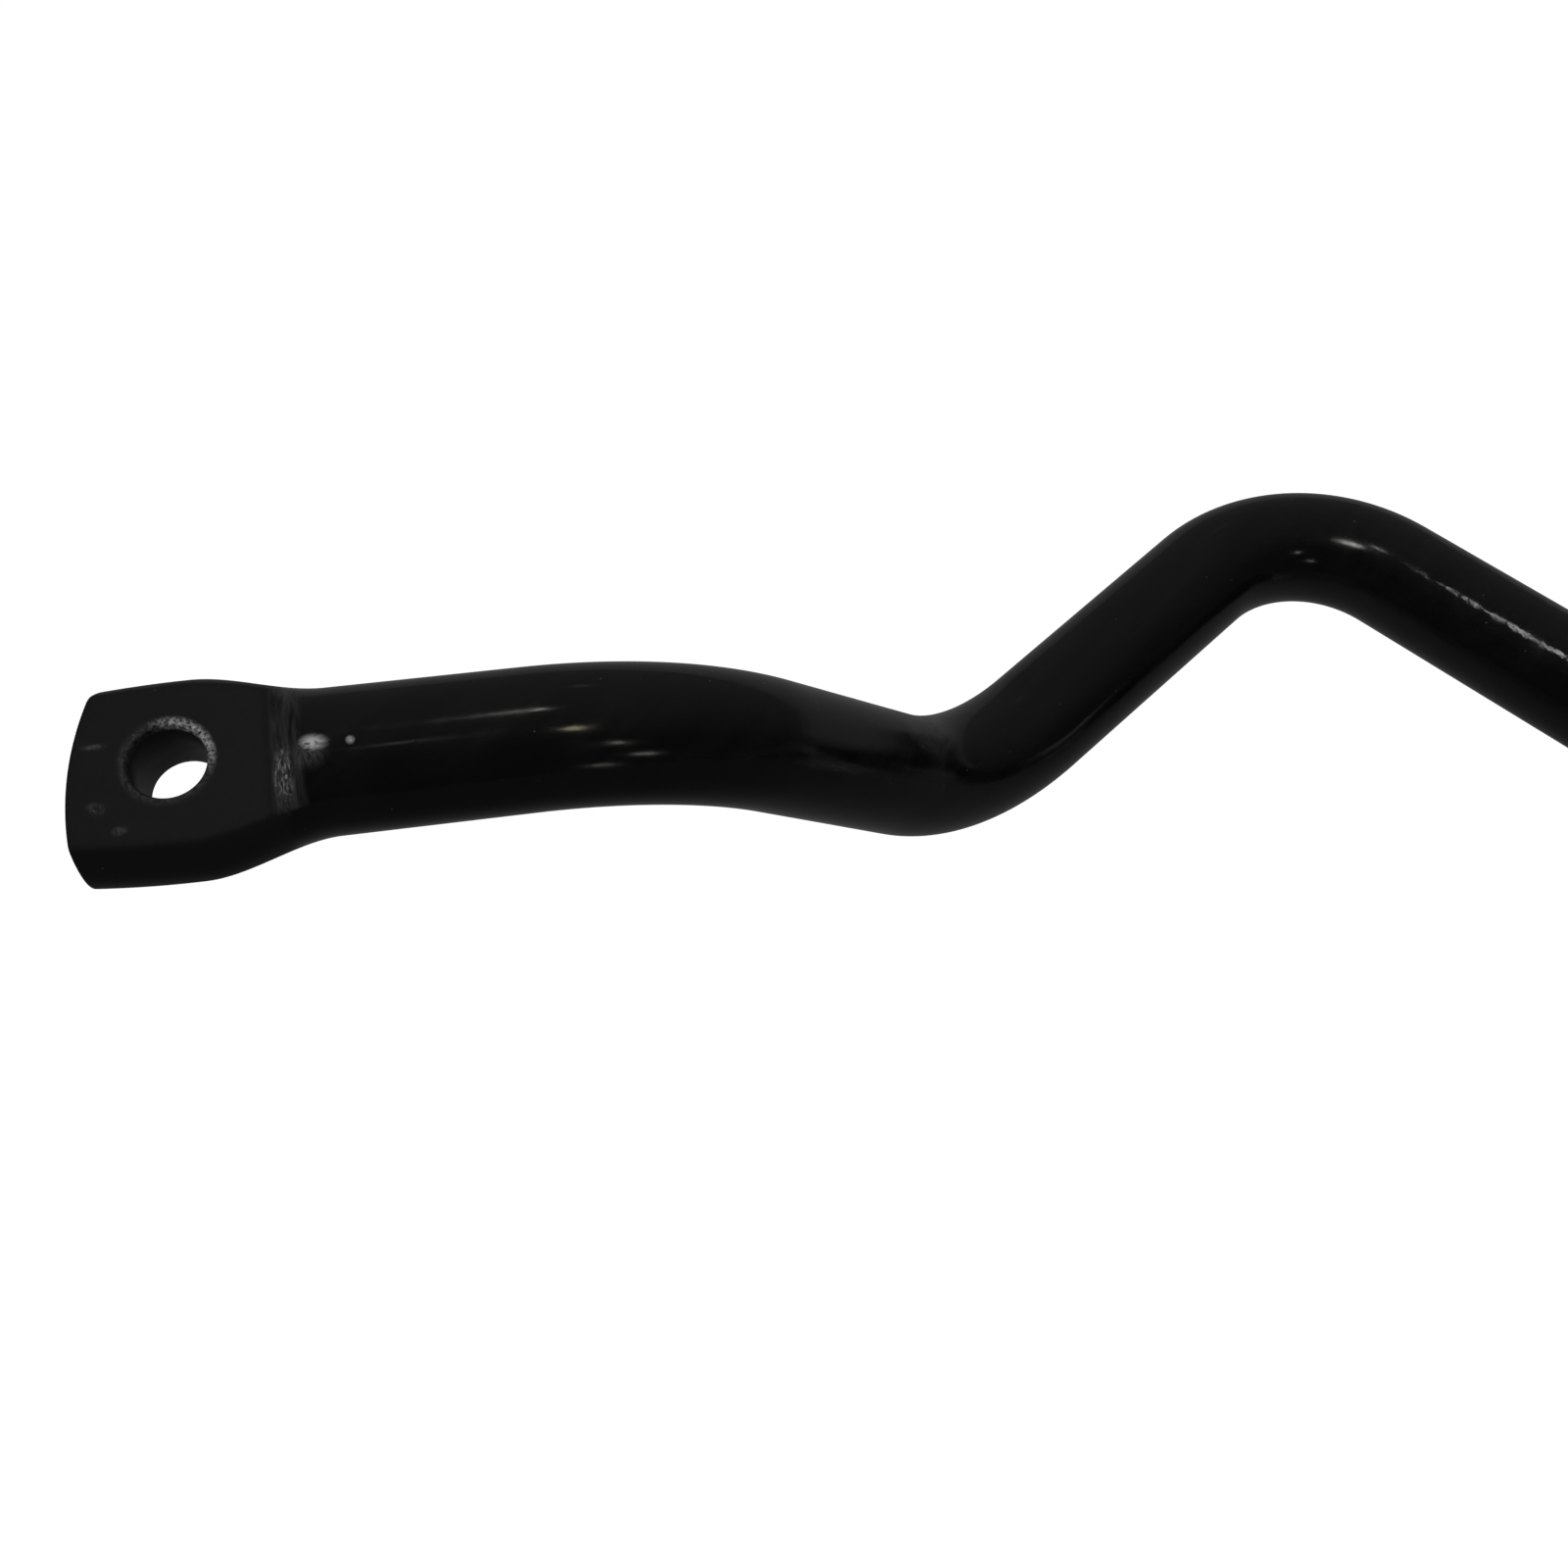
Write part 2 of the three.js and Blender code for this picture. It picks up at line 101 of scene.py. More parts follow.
BUSHING_RADIUS = 21.0
BUSHING_HALF_LENGTH = 19.0
BUSHING_BORE = 12.3
BUSHING_SLIT = 1.0
BUSHING_CORNER = 2.0
BUSHING_EDGE = 0.9
FLANGE_RADIUS = 24.0
FLANGE_THICKNESS = 3.5
STRAP_INNER = 21.3
STRAP_THICKNESS = 3.5
STRAP_HALF_WIDTH = 15.2
STRAP_REACH = 47.0
STRAP_BEND = 5.0
STRAP_EDGE = 1.1
FOOT_BOTTOM = -21.0
PLATE_TOP = -21.3
PLATE_BOTTOM = -26.3
PLATE_HALF_LENGTH = 68.0
PLATE_HALF_WIDTH = 22.0
PLATE_CORNER = 10.0
CHASSIS_HOLE = (57.0, 5.5)
STUD_HOLE_RADIUS = 4.3
STUD_SEAT_RADIUS = 6.8
STUD_SEAT_DEPTH = 2.6
STUD_Y = 36.5
STUD_RADIUS = 4.0
STUD_BOTTOM = -26.0
STUD_TOP = -5.0
STUD_HEAD = ((0.4, 0.0), (6.2, 0.0), (6.5, 0.3), (6.5, 1.7), (6.2, 2.0), (4.3, 2.0), (4.0, 2.3))
THREAD_PITCH = 1.25
THREAD_DEPTH = 0.68
THREAD_FADE = (-19.0, -17.5)
WASHER = (8.0, 4.3, -17.2, -15.6)
NUT_FLATS = 13.0
NUT_CROWN_RADIUS = 6.25
NUT_CROWN_HEIGHT = 0.9
NUT_BORE = 4.35
NUT_COUNTERSINK = (5.1, 0.8)
NUT_BOTTOM = -15.3
NUT_TOP = -8.5
RING_OUTER = 17.0
RING_INNER = 12.3
RING_HALF_WIDTH = 5.0
RING_GAP = 3.0
RING_EDGE = 0.7
RING_DENT = 0.55
RING_DENT_SPREAD = 7.0  # degrees round the ring

# ---- Light and floor ------------------------------------------------------------------
# Each level is a radiance. Those that are "seen" reach only the eye of the viewer, and the
# others are what the paint reflects.

FLOOR_SEEN = 1.02
FLOOR_COLOUR = 0.3
FLOOR_GLOW_FRONT = 0.03
FLOOR_GLOW_BACK = 0.13
FLOOR_GLOW_EDGES = (0.20, 0.37)
FLOOR_GLOW_SIDE = Vector((-0.8, 0.6, 0.0))
WORLD_SEEN = 1.0
SKY_LOW = 0.03
SKY_HIGH = 0.125
SKY_SIDE = Vector((-0.42, 0.62, 0.66))
SKY_FACING = (0.1, 1.0)
SKY_HORIZON = 0.03
FLOOR_HALF = 6.0
FLOOR_DROP = 0.0005
PALE = (1.0, 0.98, 0.93)
WARM = (1.0, 0.93, 0.70)

# ---- Camera ---------------------------------------------------------------------------

SENSOR = 36.0
LENS = 36.0
CAMERA_PLACE = Vector((-317.978, -239.034, 281.768))
CAMERA_TARGET = Vector((-436.432, -127.446, 0.0))
CAMERA_ROLL = math.radians(-4.862)

# ---- Wear and painted light on the paint ----------------------------------------------
# Places on the eye are (along, across) from its bore, towards the neck and outboard, in
# millimetres, each with the half sizes of the mark. The last two pairs are in metres.

SHOULDER_SCUFF = ((17.6, -5.0), (2.1, 6.4))
# Painted highlights: the blotch on the shoulder and the chip on the neck are light grey spots, painted
# where the lamps glint on the bends.
SHOULDER_PAINTED_HIGHLIGHT = ((22.6, -1.6), (3.0, 1.7))
# Painted sheen: a faint light grey haze painted on the shoulder's satin ramp, where it would catch the
# overhead light.
SHOULDER_PAINTED_SHEEN = ((21.8, -3.0), (4.0, 3.2))
NECK_PAINTED_HIGHLIGHT = ((28.3, -1.8), (0.9, 0.9))
FLAT_SMUDGES = (((-10.5, -6.7), (1.9, 1.5)), ((-7.0, -10.7), (1.6, 1.0)), ((-10.8, 3.6), (2.4, 0.7)))
RIM_WEAR_RADII = (5.8, 6.5)
# The side of the bore's edge that carries a painted highlight, as (along, across).
RIM_HIGHLIGHT_SIDE = (0.72, 0.69)
# The press band on the shoulder: real press streaks, painted lighter grey as a painted sheen.
PRESS_MARK_AND_SHEEN = (16.8, 19.6)
# The jog's inner corner: real folds, and a painted reflection, a lighter grey patch.
JOG_CREASE_AND_REFLECTION = np.array([-415.0, -110.0, 26.0])
CREASE_AND_REFLECTION_RADII = (0.004, 0.011)
SMOOTH_FROM_X = (-0.376, -0.366)

# ---- Small tools ----------------------------------------------------------------------


def unit(vector):
    return vector / np.linalg.norm(vector)


def turned(vector, axis, angle):
    """The vector turned about a unit axis."""
    c = math.cos(angle)
    s = math.sin(angle)
    return vector * c + np.cross(axis, vector) * s + axis * np.dot(axis, vector) * (1 - c)


def smooth_step(value, low, high):
    t = np.clip((value - low) / (high - low), 0.0, 1.0)
    return t * t * (3 - 2 * t)


def smooth_max(a, b, width):
    """The larger of two distances, with the corner between them rounded."""
    h = np.clip(0.5 + 0.5 * (a - b) / width, 0.0, 1.0)
    return b + (a - b) * h + width * h * (1 - h)


def smooth_min(a, b, width):
    return -smooth_max(-a, -b, width)


def turn_angles(count):
    return np.linspace(0, 2 * np.pi, count, endpoint=False)


def ring(radius, angles, height):
    """Points round Z at one height."""
    return np.stack([radius * np.cos(angles), radius * np.sin(angles), np.full(len(angles), height)], 1)


def arc_points(cx, cy, radius, start, end, steps):
    angles = np.radians(np.linspace(start, end, steps))
    return [(cx + radius * math.cos(a), cy + radius * math.sin(a)) for a in angles]


def rounded_rectangle(half_width, half_height, corner, steps):
    """The outline of a rectangle whose corners are arcs."""
    x = half_width - corner
    y = half_height - corner
    outline = []
    for cx, cy, start in ((x, y, 0), (-x, y, 90), (-x, -y, 180), (x, -y, 270)):
        outline += arc_points(cx, cy, corner, start, start + 90, steps)
    return outline


def grid_faces(rows, columns, wrap_rows=False):
    """Quads between neighbouring points of a grid of closed rows."""
    faces = []
    for i in range(rows if wrap_rows else rows - 1):
        below = i * columns
        above = (i + 1) % rows * columns
        for j in range(columns):
            k = (j + 1) % columns
            faces.append((below + j, below + k, above + k, above + j))
    return faces


def capped_faces(rows, columns):
    """The same quads, and a face that closes each end."""
    faces = grid_faces(rows, columns)
    faces.append(tuple(range(columns)))
    faces.append(tuple(range((rows - 1) * columns, rows * columns)))
    return faces


def mesh_object(name, points, faces, centre):
    """A mesh from points in millimetres about a centre in metres."""
    mesh = bpy.data.meshes.new(name)
    placed = np.asarray(points, float) * MM + np.array(centre)
    mesh.from_pydata(placed.tolist(), [], faces)
    work = bmesh.new()
    work.from_mesh(mesh)
    bmesh.ops.recalc_face_normals(work, faces=work.faces)
    work.to_mesh(mesh)
    work.free()
    obj = bpy.data.objects.new(name, mesh)
    bpy.context.scene.collection.objects.link(obj)
    return obj


def baked(obj):
    """Puts the result of the modifiers into the mesh."""
    evaluated = obj.evaluated_get(bpy.context.evaluated_depsgraph_get())
    mesh = bpy.data.meshes.new_from_object(evaluated)
    obj.modifiers.clear()
    obj.data = mesh
    return obj


def cut(obj, *cutters):
    """Cuts holes, and removes the cutters."""
    for cutter in cutters:
        modifier = obj.modifiers.new("cut", "BOOLEAN")
        modifier.operation = "DIFFERENCE"
        modifier.solver = "EXACT"
        modifier.object = cutter
    baked(obj)
    for cutter in cutters:
        bpy.data.objects.remove(cutter)
    return obj


def rounded(obj, width, segments, angle):
    """Rounds every edge sharper than the angle."""
    modifier = obj.modifiers.new("round", "BEVEL")
    modifier.width = width * MM
    modifier.segments = segments
    modifier.limit_method = "ANGLE"
    modifier.angle_limit = math.radians(angle)
    modifier.harden_normals = False
    return baked(obj)


def shaded(obj, angle=32):
    """Smooth shading, with the edges sharper than the angle left crisp."""
    obj.data.shade_smooth()
    obj.data.set_sharp_from_angle(angle=math.radians(angle))
    return obj


def plug(name, radius, low, high, centre):
    """A round cutter about Z."""
    around = 48
    points = [ring(radius, turn_angles(around), z) for z in (low, high)]
    return mesh_object(name, np.concatenate(points), capped_faces(2, around), centre)


def dress(obj, body, node, material):
    """Gives a finished mesh its material, its CAD body and the node it stands for."""
    obj.data.materials.clear()
    obj.data.materials.append(material)
    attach(obj, body)
    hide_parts(node)
    return obj


# ---- Shape of the bar -----------------------------------------------------------------


def eye_axes():
    """Left eye: along the bar towards the neck, across the flats, and out of the upper one."""
    along = unit(NECK - EYE)
    level = unit(np.cross([0.0, 0.0, 1.0], along))
    across = turned(level, along, EYE_ROLL)
    return along, across, np.cross(along, across)


def spread_at(s, a):
    """Extra half width of the eye at a distance s from the bore towards the neck."""
    towards_tip = np.maximum(0.0, EYE_WIDEST - s) / (EYE_WIDEST + EYE_TIP)
    rise = 1 - smooth_step(s, EYE_WIDEST, FORGED_LENGTH)
    share = smooth_step(a, -SPREAD_BLEND, SPREAD_BLEND)
    widest = INBOARD_SPREAD + (OUTBOARD_SPREAD - INBOARD_SPREAD) * share
    return widest * rise - EYE_TIP_TAPER * towards_tip ** 2


def eye_distance(s, a, n):
    """Signed distance to the forged end, at s along, a across and n out of the flats."""
    half_width = BAR_RADIUS + spread_at(s, a)
    fade = 1 - smooth_step(s, EYE_WIDEST, FORGED_LENGTH)
    half_height = BAR_RADIUS + (EYE_HALF_HEIGHT - BAR_RADIUS) * fade
    q = np.sqrt((a / half_width) ** 2 + (n / half_height) ** 2)
    slope = np.sqrt((a / half_width ** 2) ** 2 + (n / half_height ** 2) ** 2)
    body = q * (q - 1) / np.maximum(slope, 1e-6)
    flat = np.abs(n) - EYE_HALF_THICKNESS
    ramp = flat - SHOULDER_SLOPE * (s - EYE_FLAT_END)
    ramp = ramp / math.hypot(1, SHOULDER_SLOPE)
    flats = smooth_min(flat, ramp, SHOULDER_EDGE)
    tip = np.hypot(s - EYE_TIP_ARC + EYE_TIP, a - EYE_TIP_SKEW) - EYE_TIP_ARC
    return smooth_max(smooth_max(body, flats, FLAT_EDGE), tip, TIP_EDGE)


def reach(origin_s, step_s, step_a, step_n):
    """How far a ray goes from the bar's centreline before it leaves the forged end."""
    low = np.zeros_like(step_a)
    high = np.full_like(step_a, 32.0)
    for _ in range(40):
        middle = 0.5 * (low + high)
        inside = eye_distance(origin_s + middle * step_s, middle * step_a, middle * step_n) < 0
        low = np.where(inside, middle, low)
        high = np.where(inside, high, middle)
    return 0.5 * (low + high)


def tip_rings():
    """Rings of points, each from rays that leave the bore's centre at one steepness."""
    angles = turn_angles(AROUND)
    along, across, normal = eye_axes()
    rings = []
    for steepness in np.radians(np.linspace(89.4, 0, 140)[:-1]):
        level = math.cos(steepness)
        step_s = np.full(AROUND, -math.sin(steepness))
        step_a = level * np.cos(angles)
        step_n = level * np.sin(angles)
        distance = reach(0.0, step_s, step_a, step_n)
        ray = np.outer(step_s, along) + np.outer(step_a, across) + np.outer(step_n, normal)
        rings.append(EYE + ray * distance[:, None])
    return rings


def bend_stations(before, corner, after, radius, axes, steps):
    """Positions and turned axes round the bend at a corner."""
    incoming = unit(corner - before)
    outgoing = unit(after - corner)
    angle = math.acos(np.clip(np.dot(incoming, outgoing), -1, 1))
    axis = unit(np.cross(incoming, outgoing))
    start = corner - incoming * radius * math.tan(angle / 2)
    centre = start + np.cross(axis, incoming) * radius
    stations = []
    for f in np.linspace(0, 1, steps + 1):
        position = centre + turned(start - centre, axis, f * angle)
        stations.append((position, [turned(v, axis, f * angle) for v in axes]))
    return stations


def arm_rings():
    """Rings from the bore to the middle of the bar."""
    angles = turn_angles(AROUND)
    along, across, normal = eye_axes()
    rings = []
    forged = np.concatenate([
        np.arange(0, 14, 0.8),
        np.arange(14, 27, 0.33),
        np.arange(27, FORGED_LENGTH + 6, 1.0),
    ])
    for s in forged:
        still = np.zeros(AROUND)
        distance = reach(s, still, np.cos(angles), np.sin(angles))
        spoke = np.outer(np.cos(angles), across) + np.outer(np.sin(angles), normal)
        rings.append(EYE + along * s + spoke * distance[:, None])
    stations = bend_stations(EYE, NECK, JOG, NECK_BEND, [across, normal], 30)
    stations += bend_stations(NECK, JOG, ELBOW, JOG_BEND, stations[-1][1], 30)
    stations += bend_stations(JOG, ELBOW, np.zeros(3), ELBOW_BEND, stations[-1][1], 36)
    run = stations[-1]
    for share in (0.05, 0.15, 0.3, 0.5, 0.75, 1.0):
        stations.append((run[0] * (1 - share), run[1]))
    for position, (a, n) in stations:
        spoke = np.outer(np.cos(angles), a) + np.outer(np.sin(angles), n)
        rings.append(position + spoke * BAR_RADIUS)
    return rings


def bore_cutter(side):
    """The bore with its worn chamfers, as a cutter that sticks out of both flats."""
    whole = [(r, -z) for r, z in reversed(CHAMFERED_BORE[1:])] + list(CHAMFERED_BORE)
    around = 96
    angles = turn_angles(around)
    along, across, normal = eye_axes()
    points = []
    for r, z in whole:
        spoke = np.outer(np.cos(angles), along) + np.outer(np.sin(angles), across)
        points.append(EYE + spoke * r + normal * z)
    points = np.concatenate(points) * np.array([-side, 1, 1])
    return mesh_object("bore_cutter", points, capped_faces(len(whole), around), BAR_AXIS)


def make_bar():
    rings = tip_rings() + arm_rings()
    count = len(rings)
    left = np.concatenate(rings)
    right = left * np.array([-1, 1, 1])
    middle = (count - 1) * AROUND
    faces = grid_faces(count, AROUND)
    faces.append(tuple(range(AROUND)))
    other = []
    for face in faces:
        moved = tuple(i if i >= middle else i + len(left) for i in face)
        other.append(tuple(reversed(moved)))
    points = np.concatenate([left, right[:middle]])
    obj = mesh_object("forged_bar", points, faces + other, BAR_AXIS)
    cut(obj, bore_cutter(-1), bore_cutter(1))
    return shaded(obj, 50)


# ---- Shapes of the pivots -------------------------------------------------------------


def d_radius(angle, radius):
    """Outline of the bushing: round above, square below, with small lower corners."""
    y = np.cos(angle)
    z = np.sin(angle)
    wall = radius / np.maximum(np.abs(y), 1e-6)
    floor = BUSHING_RADIUS / np.maximum(-z, 1e-6)
    far = 60
    low = smooth_min(np.minimum(wall, far), np.minimum(floor, far), BUSHING_CORNER)
    return np.where(z >= 0, radius, np.maximum(np.minimum(low, radius * 1.5), radius * 0.98))


def bushing_profile():
    """Outer and bore radius at stations along the bushing."""
    edge = BUSHING_EDGE
    flange_foot = BUSHING_HALF_LENGTH - FLANGE_THICKNESS
    stations = []
    for f in np.radians(np.linspace(0, 90, 6)):
        x = BUSHING_HALF_LENGTH - edge + edge * math.cos(f)
        outer = FLANGE_RADIUS - edge + edge * math.sin(f)
        stations.append((x, outer, BUSHING_BORE + edge * (1 - math.sin(f))))
    stations.append((flange_foot + 0.35, FLANGE_RADIUS, BUSHING_BORE))
    stations.append((flange_foot + 0.05, FLANGE_RADIUS - 0.35, BUSHING_BORE))
    stations.append((flange_foot, BUSHING_RADIUS + 0.4, BUSHING_BORE))
    stations.append((flange_foot - 0.25, BUSHING_RADIUS, BUSHING_BORE))
    stations.append((0.3, BUSHING_RADIUS, BUSHING_BORE))
    return stations + [(-x, outer, bore) for x, outer, bore in reversed(stations)]


def make_bushing(name, centre):
    """A split D-shaped bushing with a flange at each end."""
    steps = 150
    half = BUSHING_SLIT / 2
    stations = bushing_profile()
    share = np.linspace(0, 1, steps)
    points = []
    for x, outer, bore in stations:
        for is_outer, radius in ((True, outer), (False, bore)):
            start = math.asin(half / radius)
            angles = start + share * (2 * np.pi - 2 * start)
            reach_out = d_radius(angles, radius) if is_outer else radius
            y = np.cos(angles) * reach_out
            z = np.sin(angles) * reach_out
            points.append(np.stack([np.full(steps, x), y, z], 1))
    count = len(stations)
    faces = []
    row = 2 * steps
    for i in range(count - 1):
        for j in range(steps - 1):
            a = i * row + j
            b = a + row
            faces.append((a, a + 1, b + 1, b))
            faces.append((a + steps, b + steps, b + steps + 1, a + steps + 1))
        for j in (0, steps - 1):
            a = i * row + j
            b = a + row
            faces.append((a, b, b + steps, a + steps))
    for i in (0, count - 1):
        for j in range(steps - 1):
            a = i * row + j
            faces.append((a, a + 1, a + steps + 1, a + steps))
    obj = mesh_object(name, np.concatenate(points), faces, centre)
    return shaded(obj, 40)


def strap_line():
    """The strap's middle line in the Y-Z plane, from one toe over the arch to the other."""
    half = STRAP_THICKNESS / 2
    middle = STRAP_INNER + half
    bend = STRAP_BEND + half
    foot = FOOT_BOTTOM + half
    lead = 3
    line = [(STRAP_REACH, foot)]
    line += [(middle + bend + lead, foot)]
    line += arc_points(middle + bend, foot + bend, bend, 270, 180, 10)
    line += arc_points(0, 0, middle, 0, 180, 49)
    line += arc_points(-middle - bend, foot + bend, bend, 0, -90, 10)
    line += [(-middle - bend - lead, foot)]
    line += [(-STRAP_REACH, foot)]
    return line


def make_strap(name, centre):
    """A pressed strap: an arch over the bushing with a foot on each side."""
    line = np.array(strap_line())
    tangent = np.gradient(line, axis=0)
    tangent /= np.linalg.norm(tangent, axis=1)[:, None]
    section = rounded_rectangle(STRAP_HALF_WIDTH, STRAP_THICKNESS / 2, STRAP_EDGE, 7)
    points = []
    for (y, z), (ty, tz) in zip(line, tangent):
        points += [(x, y + n * tz, z - n * ty) for x, n in section]
    obj = mesh_object(name, points, capped_faces(len(line), len(section)), centre)
    holes = []
    for side in (-1, 1):
        where = Vector(centre) + Vector((0, side * STUD_Y, FOOT_BOTTOM)) * MM
        holes.append(plug("hole", STUD_RADIUS + 0.6, -4, 4 + STRAP_THICKNESS, where))
    cut(obj, *holes)
    rounded(obj, 0.35, 2, 50)
    return shaded(obj)


def make_base_plate(name, centre):
    """A blanked plate with two chassis holes and two stud seats."""
    outline = rounded_rectangle(PLATE_HALF_WIDTH, PLATE_HALF_LENGTH, PLATE_CORNER, 13)
    points = [(x, y, z) for z in (PLATE_BOTTOM, PLATE_TOP) for x, y in outline]
    obj = mesh_object(name, points, capped_faces(2, len(outline)), centre)
    below = PLATE_BOTTOM - 3
    above = PLATE_TOP + 3
    seat_top = PLATE_BOTTOM + STUD_SEAT_DEPTH
    cutters = []
    for side in (-1, 1):
        hole = Vector(centre) + Vector((0, side * CHASSIS_HOLE[0], 0)) * MM
        stud = Vector(centre) + Vector((0, side * STUD_Y, 0)) * MM
        cutters.append(plug("hole", CHASSIS_HOLE[1], below, above, hole))
        cutters.append(plug("hole", STUD_HOLE_RADIUS, below, above, stud))
        cutters.append(plug("seat", STUD_SEAT_RADIUS, below, seat_top, stud))
    cut(obj, *cutters)
    rounded(obj, 0.55, 3, 50)
    return shaded(obj)


def thread_radius(angle, height):
    """Radius of the stud's rolled thread, fading out at the point and at the shank."""
    turn = (height / THREAD_PITCH - angle / (2 * np.pi)) % 1.0
    ridge = np.abs(2 * turn - 1)
    crest = np.clip(ridge * 1.25 - 0.1, 0, 1)
    depth = THREAD_DEPTH * (1 - crest)
    fade = smooth_step(height, *THREAD_FADE)
    point = np.maximum(0.0, height - (STUD_TOP - 1.0)) * 0.95
    return STUD_RADIUS - depth * fade - point


def make_stud(name, centre):
    """A pressed-in stud with a flat sunk head and a rolled thread."""
    around = 48
    angles = turn_angles(around)
    rings = [ring(radius, angles, STUD_BOTTOM + rise) for radius, rise in STUD_HEAD]
    for z in np.arange(STUD_BOTTOM + 4.0, STUD_TOP + 0.01, THREAD_PITCH / 10):
        rings.append(ring(thread_radius(angles, z), angles, min(z, STUD_TOP)))
    for radius in (2.2, 0.4):
        rings.append(ring(radius, angles, STUD_TOP))
    faces = capped_faces(len(rings), around)
    return shaded(mesh_object(name, np.concatenate(rings), faces, centre), 45)


def make_washer(name, centre):
    """A washer with small edges, and a larger one round the top."""
    outer, inner, low, high = WASHER
    edge = 0.25
    crown = 0.45
    profile = [
        (outer - edge, low), (outer, low + edge), (outer, high - crown), (outer - crown, high),
        (inner + edge, high), (inner, high - edge), (inner, low + edge), (inner + edge, low),
    ]
    around = 64
    rings = [ring(radius, turn_angles(around), z) for radius, z in profile]
    faces = grid_faces(len(rings), around, wrap_rows=True)
    return shaded(mesh_object(name, np.concatenate(rings), faces, centre), 50)


def make_nut(name, centre):
    """A hexagon nut whose corners are turned off at both faces, with a countersunk thread."""
    around = 96
    angles = turn_angles(around)
    flat = (NUT_FLATS / 2) / np.cos((angles + np.pi / 6) % (np.pi / 3) - np.pi / 6)
    height = NUT_TOP - NUT_BOTTOM
    crown = np.linspace(0, NUT_CROWN_HEIGHT, 7)
    rings = []
    for z in np.concatenate([crown, crown + height - NUT_CROWN_HEIGHT]):
        from_end = min(z, height - z)
        turned_off = NUT_CROWN_RADIUS + from_end / math.tan(math.radians(30))
        rings.append(ring(np.minimum(flat, turned_off), angles, NUT_BOTTOM + z))
    mouth, depth = NUT_COUNTERSINK
    for radius, z in ((mouth, height), (NUT_BORE, height - depth), (NUT_BORE, depth), (mouth, 0.0)):
        rings.append(ring(radius, angles, NUT_BOTTOM + z))
    faces = grid_faces(len(rings), around, wrap_rows=True)
    return shaded(mesh_object(name, np.concatenate(rings), faces, centre), 25)


def make_stop_ring(name, centre):
    """A band crimped round the bar, with the dents of the crimping jaws."""
    steps = 140
    section = rounded_rectangle(RING_HALF_WIDTH, (RING_OUTER - RING_INNER) / 2, RING_EDGE, 5)
    middle = (RING_OUTER + RING_INNER) / 2
    gap = math.asin(RING_GAP / 2 / middle)
    angles = np.pi / 2 + gap + np.linspace(0, 1, steps) * (2 * np.pi - 2 * gap)
    points = []
    for a in angles:
        from_jaw = min(math.degrees(a) % 180, -math.degrees(a) % 180)
        dent = RING_DENT * math.exp(-((from_jaw / RING_DENT_SPREAD) ** 2))
        for x, r in section:
            radius = middle + r - (dent if r > 0 else 0.0)
            points.append((x, radius * math.cos(a), radius * math.sin(a)))
    return shaded(mesh_object(name, points, capped_faces(steps, len(section)), centre), 40)


# ---- Materials ------------------------------------------------------------------------


